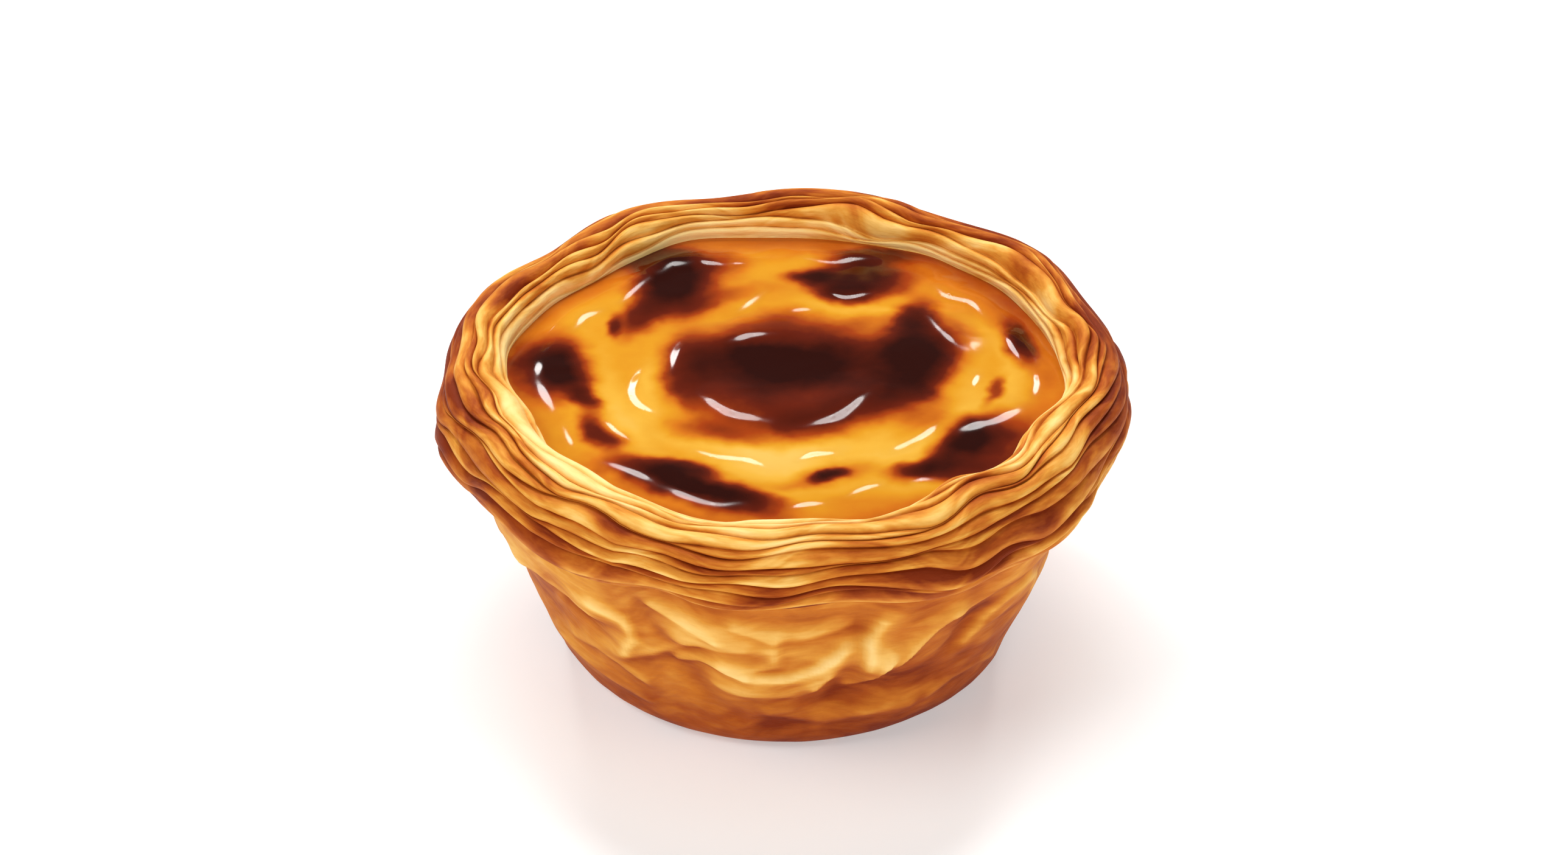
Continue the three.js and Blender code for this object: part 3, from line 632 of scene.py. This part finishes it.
def wall_toast_and_highlights(bearing, z, top_z, relief, fine):
    """How brown the side wall is, with painted highlights on raised relief, on faces that look up and on
    crease crests, and painted shade in its hollows.
    """
    up = z / top_z
    step = LOOK_UP_HIGHLIGHT["step"]
    looking_up = wall_relief(bearing, z - step, top_z) - wall_relief(bearing, z + step, top_z)
    along, height = wall_cells(bearing, up)
    toast = np.interp(up, *np.array(WALL_TOAST).T) + lobes(WALL_BROWNING, bearing)
    toast += WALL_MOTTLE["toast"] * noise(along / 2, height / 2, WALL_MOTTLE["seed"], UNEVEN["round"] // 2)
    # Painted highlight where the relief and its fine unevenness rise, and painted shade where they sink
    toast -= RISE_HIGHLIGHT * relief + FINE_HIGHLIGHT * fine
    # Painted highlight on faces that look up
    toast -= LOOK_UP_HIGHLIGHT["toast"] * looking_up * (up > LOOK_UP_HIGHLIGHT["from"])
    # Painted highlight along each raised crease's crest
    return toast - CREST_HIGHLIGHT["toast"] * wall_crests(bearing, z)


def wall_rows(bearing):
    """Rows of the side wall from under the lip to the flat foot."""
    s = sizes(bearing)
    top_r, top_z = lip_section(np.ones_like(bearing), s)[:2]
    heights = [top_z + (FOOT_ROUNDING - top_z) * i / WALL_ROWS for i in range(WALL_ROWS)]
    turns = [math.pi / 2 * i / FOOT_ROWS for i in range(FOOT_ROWS + 1)]
    heights += [np.full_like(bearing, FOOT_ROUNDING * (1 - math.sin(turn))) for turn in turns]
    rows = []
    for z in heights:
        k = np.maximum(0, 1 - z / FOOT_ROUNDING)
        inset = FOOT_ROUNDING * (1 - np.sqrt(1 - k * k))
        up = z / top_z
        relief, fine = wall_relief(bearing, z, top_z), wall_unevenness(bearing, up)
        radius = FOOT_RADIUS + (top_r - FOOT_RADIUS) * up + relief + fine - inset
        toast = wall_toast_and_highlights(bearing, z, top_z, relief, fine)
        across = len(LEAF_WIDTHS) + WALL_STRAND_RATE * (top_z - z)
        rows.append((radius, z, toast, np.zeros_like(bearing), across))
    return rows


def pastry_case():
    """The case as one closed skin: its hidden inside, its lip and its side wall."""
    bearing = TURN * np.arange(CASE_BEARINGS) / CASE_BEARINGS
    flat = np.zeros_like(bearing)
    inside = [(*cup_row(share, 0, bearing), flat + INSIDE_TOAST, flat, flat) for share in (0, 0.5)]
    rows = inside + lip_rows(bearing) + wall_rows(bearing)
    radii, heights, toast, groove, across = (np.array(column) for column in zip(*rows))
    lip = np.clip(1 - (across - len(LEAF_WIDTHS)) / FIBRE_FADE, FIBRE_LEAST, 1)
    layers = {"toast": toast, "groove": groove, "across": across, "lip": lip}
    return ring_mesh("pastry_case_skin", radii, heights, bearing, layers)


def curve(points, steps=6):
    """A smooth line through the points."""
    p = np.array([points[0], *points, points[-1]], dtype=float)
    t = np.arange(steps)[:, None] / steps
    parts = [
        0.5 * (2 * b + (c - a) * t + (2 * a - 5 * b + 4 * c - d) * t**2 + (3 * b - a - 3 * c + d) * t**3)
        for a, b, c, d in zip(p, p[1:], p[2:], p[3:])
    ]
    return np.concatenate([*parts, p[-1:]])


def reach_at(x, y):
    """0 on the axis and 1 at the custard's edge."""
    return np.hypot(x, y) / cup_row(1, -OVERLAP, np.arctan2(y, x))[0]


def unit(vectors):
    """The vectors, each made 1 long."""
    return vectors / np.linalg.norm(vectors, axis=-1, keepdims=True)


def camera_place():
    away = CAMERA_DISTANCE * np.array([-math.cos(CAMERA_ELEVATION), math.sin(CAMERA_ELEVATION)])
    return np.array([0, away[0], CAMERA_TARGET_Z + away[1]])


def panel_place(side, forward, tilt=GLAZE_TILT):
    """Place that glaze mirrors to the camera where it leans by this tilt to this side and forward."""
    middle = np.array([0, 0, CUSTARD_EDGE_Z])
    sight = unit(camera_place() - middle)
    flat = math.sin(tilt)
    lean = np.stack([side * flat, -forward * flat, np.full_like(side, math.cos(tilt))], axis=-1)
    way = 2 * (lean * sight).sum(axis=-1, keepdims=True) * lean - sight
    return middle + ARCH["distance"] / MM * way


def arch_place(degrees, tilt=GLAZE_TILT):
    """The same for a bearing from the front, in degrees."""
    bearing = math.radians(degrees)
    return panel_place(np.array(math.sin(bearing)), np.array(math.cos(bearing)), tilt)


def arch_panels():
    """Place, direction of the width, width and height of each panel of the arch, in millimetres."""
    panels = []
    for at in ARCH["bearings"]:
        along = arch_place(at + ARCH["step"] / 2) - arch_place(at - ARCH["step"] / 2)
        across = arch_place(at, GLAZE_TILT + TILT_BAND) - arch_place(at, GLAZE_TILT - TILT_BAND)
        height = np.linalg.norm(across - (across @ unit(along)) * unit(along))
        panels.append((arch_place(at), along, np.linalg.norm(along), height))
    return panels


def run_lifts(half, line):
    """How high a run is at each point of its line, so that its steep side mirrors the arch from the skin."""
    ahead = unit(np.gradient(line, axis=0))
    right = np.stack([ahead[:, 1], -ahead[:, 0]], axis=1)
    far = line + half * right
    skin, lower = (skin_height(*place.T, reach_at(*place.T)) for place in (line, far))
    here = np.column_stack([line, np.full(len(line), CUSTARD_EDGE_Z)])
    facing = unit(camera_place() - here) + unit(panel_place(right[:, 0], -right[:, 1]) - here)
    slope = (facing[:, :2] * right).sum(axis=1) / facing[:, 2]
    length = np.cumsum(np.hypot(*np.gradient(line, axis=0).T))
    bumpy = noise(length / RUN_BEADS["length"], line[0, 0], RUN_BEADS["seed"])
    beads = RUN_BEADS["less"] * smooth(0, RUN_BEADS["full"], bumpy)
    taper = 1 - RUN_TAPER * np.linspace(-1, 1, len(line)) ** 6 - beads
    return half * (slope * taper - (skin - lower) / half) / STEEPEST


def run_heights(x, y):
    """Height of the runs over the skin."""
    total = np.zeros_like(x)
    for half, points in RUNS:
        line = curve(points)
        gap, left = nearest(x, y, line)
        nearness = [1 / ((x - at_x) ** 2 + (y - at_y) ** 2 + half**2) ** 3 for at_x, at_y in line]
        lift = sum(weight * lift for weight, lift in zip(nearness, run_lifts(half, line))) / sum(nearness)
        room = CUSTARD_RADIUS * (1 - reach_at(*line.T).max())
        gentle = min(RUN_GENTLE * half, max(half, RUN_ROOM * room))
        total += (np.maximum(lift, 0) * crease_rise(gap, left, half, gentle)) ** 4
    return total**0.25


def strayed(x, y):
    """The place whose burn shows here, so that the burns' outlines are uneven."""
    along = x + sum(reach * rough(x / size, y / size, seed) for size, reach, seed, _ in BURN_STRAYS)
    across = y + sum(reach * rough(x / size, y / size, seed) for size, reach, _, seed in BURN_STRAYS)
    return along, across


def polar_noise(table, angle, distance, stray=0):
    """Noise in cells round a centre. angle is a share of a turn."""
    return noise(angle * table["round"], distance / table["across"] + stray, table["seed"], table["round"])


def ground_burn(x, y, wx, wy, reach):
    """How burnt the custard is between the burns."""
    from_dome = np.hypot((wx - DOME["x"]) / PALE_RING["stretch"], wy - DOME["y"] + PALE_RING["shift"])
    ring = np.exp(-(((from_dome - PALE_RING["radius"]) / PALE_RING["half"]) ** 2))
    front = smooth(PALE_FRONT["faint_y"], PALE_FRONT["full_y"], y)
    pale = ring * (PALE_FRONT["faint"] + (1 - PALE_FRONT["faint"]) * front)
    angle = np.arctan2(y - DOME["y"], x - DOME["x"]) / TURN % 1
    stray = SWIRL_STRAY["reach"] * polar_noise(SWIRL_STRAY, angle, from_dome)
    swirl = polar_noise(SWIRLS, angle, from_dome, stray)
    added = GROUND["back"] * smooth(*BACK_Y, y) + GROUND["swirl"] * swirl
    at_edge = GROUND["edge"] * smooth(*EDGE_REACH, reach) + GROUND["front_edge"] * smooth(*FRONT_EDGE_Y, y)
    return GROUND["usual"] - GROUND["pale"] * pale + added + at_edge


def burn_depth(x, y, reach):
    """How burnt the skin is, from 0 for pale custard to 1 for black."""
    wx, wy = strayed(x, y)
    clear = np.ones_like(x)
    for cx, cy, long, wide, degrees, depth in BURNS:
        along, across = turned(wx - cx, wy - cy, degrees)
        out = np.hypot(along / long, across / wide)
        clear *= 1 - depth * smooth(BURN_EDGE["none"], BURN_EDGE["full"], out)
    return 1 - clear * (1 - np.clip(ground_burn(x, y, wx, wy, reach), 0, 1))


def wrinkles(x, y):
    """Height of the skin's shallow wrinkles."""
    size, (seed_x, seed_y, seed) = WRINKLES["stray_size"], WRINKLES["seeds"]
    stray_x, stray_y = (WRINKLES["stray"] * noise(x / size, y / size, n) for n in (seed_x, seed_y))
    return WRINKLES["height"] * noise(x / WRINKLES["long"] + stray_x, y / WRINKLES["wide"] + stray_y, seed)


def glazed_height(x, y):
    """Height of the custard's skin with its wrinkles and its runs of glaze."""
    reach = np.minimum(reach_at(x, y), 1)
    wrinkled = skin_height(x, y, reach) + np.clip((1 - reach) / WRINKLE_FADE, 0, 1) * wrinkles(x, y)
    return wrinkled + np.clip((1 - reach) / RUN_FADE, 0, 1) * run_heights(x, y)


def set_skin_normals(mesh, x, y):
    """Gives the first points of the mesh, which lie at x and y, the exact normals of the glazed skin."""
    step = 0.01
    slope_x = (glazed_height(x + step, y) - glazed_height(x - step, y)) / (2 * step)
    slope_y = (glazed_height(x, y + step) - glazed_height(x, y - step)) / (2 * step)
    normals = np.array([normal.vector for normal in mesh.vertex_normals])
    upright = np.stack([-slope_x, -slope_y, np.ones_like(x)], axis=-1)
    normals[: x.size] = unit(upright).reshape(-1, 3)
    mesh.normals_split_custom_set_from_vertices(normals)


def custard():
    """The filling as one closed skin, with a coarse hidden side."""
    bearing = TURN * np.arange(CUSTARD_BEARINGS) / CUSTARD_BEARINGS
    reach = (np.arange(CUSTARD_RINGS)[:, None] + 1) / CUSTARD_RINGS * np.ones_like(bearing)
    skin_radii = reach * cup_row(1, -OVERLAP, bearing)[0]
    x, y = skin_radii * np.cos(bearing), skin_radii * np.sin(bearing)
    low = [cup_row(share, CUP_GAP, bearing) for share in (0.5, 0)]
    radii = np.concatenate([skin_radii, [r for r, _ in low]])
    heights = np.concatenate([glazed_height(x, y), [z for _, z in low]])
    burn = np.concatenate([burn_depth(x, y, reach), np.zeros((len(low), len(bearing)))])
    made = ring_mesh("custard_skin", radii, heights, bearing, {"burn": burn})
    set_skin_normals(made.data, x, y)
    return made


def linear(red, green, blue):
    """A colour of 0 to 255 a channel as the linear value that a shader takes."""
    parts = [c / 255 for c in (red, green, blue)]
    return [*(c / 12.92 if c <= 0.04045 else ((c + 0.055) / 1.055) ** 2.4 for c in parts), 1]


class Shader:
    """A material's nodes, made and joined by short calls."""

    def __init__(self, name):
        self.material = bpy.data.materials.new(name)
        self.material.use_nodes = True
        self.tree = self.material.node_tree
        self.surface = self.tree.nodes["Principled BSDF"]

    def plug(self, socket, value):
        if isinstance(value, bpy.types.NodeSocket):
            self.tree.links.new(value, socket)
        else:
            socket.default_value = value

    def attribute(self, name):
        made = self.tree.nodes.new("ShaderNodeAttribute")
        made.attribute_name = name
        return made.outputs["Fac"]

    def place(self):
        return self.tree.nodes.new("ShaderNodeTexCoord").outputs["Object"]

    def noise(self, vector, scale, detail):
        made = self.tree.nodes.new("ShaderNodeTexNoise")
        settings = {"Vector": vector, "Scale": scale, "Detail": detail, "Roughness": NOISE_ROUGHNESS}
        for key, value in settings.items():
            self.plug(made.inputs[key], value)
        return made.outputs["Fac"]

    def math(self, operation, *values):
        made = self.tree.nodes.new("ShaderNodeMath")
        made.operation = operation
        for socket, value in zip(made.inputs, values):
            self.plug(socket, value)
        return made.outputs[0]

    def around_mid(self, value, reach):
        """A noise of 0 to 1 as a number from about -reach to reach."""
        return self.math("MULTIPLY", self.math("SUBTRACT", value, 0.5), 2 * reach)

    def grain(self, across, length, width):
        """A place on the pastry stretched along its leaves: length cells round the tart and width a leaf."""
        split = self.tree.nodes.new("ShaderNodeSeparateXYZ")
        self.plug(split.inputs[0], self.place())
        squares = [self.math("POWER", part, 2) for part in split.outputs[:2]]
        radius = self.math("SQRT", self.math("ADD", *squares))
        joined = self.tree.nodes.new("ShaderNodeCombineXYZ")
        for socket, part in zip(joined.inputs, split.outputs[:2]):
            self.plug(socket, self.math("MULTIPLY", self.math("DIVIDE", part, radius), length / TURN))
        self.plug(joined.inputs[2], self.math("MULTIPLY", across, width))
        return joined.outputs[0]

    def leaf_noise(self, across, layer):
        return self.noise(self.grain(across, layer["round"], layer["leaf"]), 1, layer["detail"])

    def even_noise(self, layer):
        return self.noise(self.place(), layer["scale"], layer["detail"])

    def ramp(self, factor, stops):
        """A colour from stops, each with its place in 0 to 1 and a colour of 0 to 255 a channel."""
        made = self.tree.nodes.new("ShaderNodeValToRGB")
        elements = made.color_ramp.elements
        while len(elements) < len(stops):
            elements.new(0.5)
        for element, (at, colour) in zip(elements, stops):
            element.position, element.color = at, linear(*colour)
        self.plug(made.inputs["Fac"], factor)
        return made.outputs["Color"]

    def set(self, **inputs):
        for key, value in inputs.items():
            self.plug(self.surface.inputs[key.replace("_", " ")], value)

    def bump(self, height, distance, strength):
        made = self.tree.nodes.new("ShaderNodeBump")
        for key, value in (("Height", height), ("Distance", distance), ("Strength", strength)):
            self.plug(made.inputs[key], value)
        self.set(Normal=made.outputs["Normal"])


def pastry_material():
    sh = Shader("baked_pastry")
    across = sh.attribute("across")
    on_lip = sh.attribute("lip")
    strands, fibres = sh.leaf_noise(across, STRANDS), sh.leaf_noise(across, FIBRES)
    speckle, mottle = sh.even_noise(SPECKLE), sh.even_noise(MOTTLE)
    aslant = sh.math("ADD", across, sh.around_mid(sh.even_noise(ASLANT), ASLANT["leaves"]))
    strokes = sh.leaf_noise(aslant, STROKES)
    streaks = sh.math("ADD", sh.around_mid(strands, STRANDS["toast"]), sh.around_mid(fibres, FIBRES["toast"]))
    blotches = sh.math("MULTIPLY", sh.around_mid(mottle, MOTTLE["toast"]), sh.math("SUBTRACT", 1, on_lip))
    fine = sh.math("ADD", sh.math("MULTIPLY", streaks, on_lip), blotches)
    boldness = sh.math("ADD", WALL_STROKES, sh.math("MULTIPLY", on_lip, 1 - WALL_STROKES))
    bold = sh.math("MULTIPLY", sh.around_mid(strokes, STROKES["toast"]), boldness)
    # The toast attribute also carries painted shade and highlights from the lip's leaves and the side wall
    toast = sh.math("ADD", sh.attribute("toast"), sh.math("ADD", fine, bold))
    level = sh.math("DIVIDE", sh.math("ADD", toast, UNDERBAKED), 1 + UNDERBAKED)
    sh.set(Base_Color=sh.ramp(level, PASTRY_COLOURS), Roughness=0.6, Specular_IOR_Level=0.08)
    leafy = sh.math("ADD", strands, sh.math("MULTIPLY", fibres, PASTRY_RELIEF["fibres"]))
    height = sh.math("ADD", sh.math("MULTIPLY", strokes, PASTRY_RELIEF["strokes"]), leafy)
    height = sh.math("ADD", height, sh.math("MULTIPLY", speckle, PASTRY_RELIEF["speckle"]))
    sh.bump(height, PASTRY_RELIEF["distance"], PASTRY_RELIEF["strength"])
    return sh.material


def custard_material():
    sh = Shader("blistered_custard")
    fine = sh.even_noise(CUSTARD_GRAIN)
    burn = sh.math("ADD", sh.attribute("burn"), sh.around_mid(fine, CUSTARD_GRAIN["burn"]))
    sh.set(Base_Color=sh.ramp(burn, CUSTARD_COLOURS), Roughness=0.4, Specular_IOR_Level=0.0)
    sh.set(Coat_Weight=0.85, Coat_Roughness=0.1, Coat_IOR=1.45)
    sh.bump(fine, CUSTARD_GRAIN["distance"], CUSTARD_GRAIN["strength"])
    return sh.material


def floor():
    mesh = bpy.data.meshes.new("floor")
    half = 3.0
    corners = [(-half, -half, 0), (half, -half, 0), (half, half, 0), (-half, half, 0)]
    mesh.from_pydata(corners, [], [(0, 1, 2, 3)])
    made = bpy.data.objects.new("floor", mesh)
    bpy.context.scene.collection.objects.link(made)
    sh = Shader("pale_floor")
    sh.set(Base_Color=(0.74, 0.745, 0.75, 1), Roughness=0.9, Specular_IOR_Level=0.1)
    sh.set(Emission_Color=(1, 1, 1, 1), Emission_Strength=FLOOR_GLOW)
    mesh.materials.append(sh.material)


def camera():
    data = bpy.data.cameras.new("camera")
    data.lens, data.sensor_width, data.clip_start = CAMERA_LENS, 36, 0.01
    made = bpy.data.objects.new("camera", data)
    bpy.context.scene.collection.objects.link(made)
    made.location = Vector(camera_place()) * MM
    sight = Vector((0, 0, CAMERA_AIM_Z * MM)) - made.location
    made.rotation_euler = sight.to_track_quat("-Z", "Y").to_euler()
    bpy.context.scene.camera = made


def panel(name, place, along, width, height, power):
    """A soft light at a place in millimetres. It faces the custard and its width runs along a direction."""
    data = bpy.data.lights.new(name, "AREA")
    data.shape, data.size, data.size_y = "RECTANGLE", width, height
    data.energy, data.color = power, LIGHT_TINT
    made = bpy.data.objects.new(name, data)
    bpy.context.scene.collection.objects.link(made)
    made.location = Vector(place) * MM
    back = unit(place - np.array([0, 0, CUSTARD_EDGE_Z]))
    side = unit(along - (along @ back) * back)
    made.rotation_euler = Matrix((side, np.cross(back, side), back)).transposed().to_euler()
    return made


def towards(azimuth, elevation):
    """Direction from the tart at an azimuth from the front and an elevation, both in degrees."""
    a, e = math.radians(azimuth), math.radians(elevation)
    return np.array([math.sin(a) * math.cos(e), -math.cos(a) * math.cos(e), math.sin(e)])


def lights():
    world = bpy.data.worlds.new("studio")
    world.use_nodes = True
    background = world.node_tree.nodes["Background"]
    background.inputs["Color"].default_value = (1, 1, 1, 1)
    background.inputs["Strength"].default_value = WORLD_STRENGTH
    bpy.context.scene.world = world
    middle = np.array([0, 0, CUSTARD_EDGE_Z])
    for name, azimuth, elevation, distance, width, height, power in LIGHTS:
        way = towards(azimuth, elevation)
        soft = panel(name, middle + distance / MM * way, np.cross([0, 0, 1], way), width, height, power)
        soft.visible_glossy = False  # or its glare covers the custard from the opposite side
    for azimuth in GLINTS["azimuths"]:
        way, side = towards(azimuth, GLINTS["elevation"]), GLINTS["side"]
        place = middle + GLINTS["distance"] / MM * way
        power = GLINTS["power_per_area"] * side**2
        glint = panel(f"glint_{azimuth}", place, np.cross([0, 0, 1], way), side, side, power)
        glint.visible_diffuse = False
    for number, (place, along, width, height) in enumerate(arch_panels()):
        width, height = width * MM, height * MM
        panel(f"arch_{number}", place, along, width, height, ARCH["power_per_area"] * width * height)


def main():
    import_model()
    bpy.context.scene.view_settings.view_transform = "Standard"
    case, filling = pastry_case(), custard()
    case.data.materials.append(pastry_material())
    filling.data.materials.append(custard_material())
    for piece, node, slot in ((case, "pastry_case", "pastry"), (filling, "custard", "custard")):
        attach(piece, "root")
        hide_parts(node)
    floor()
    lights()
    camera()


main()
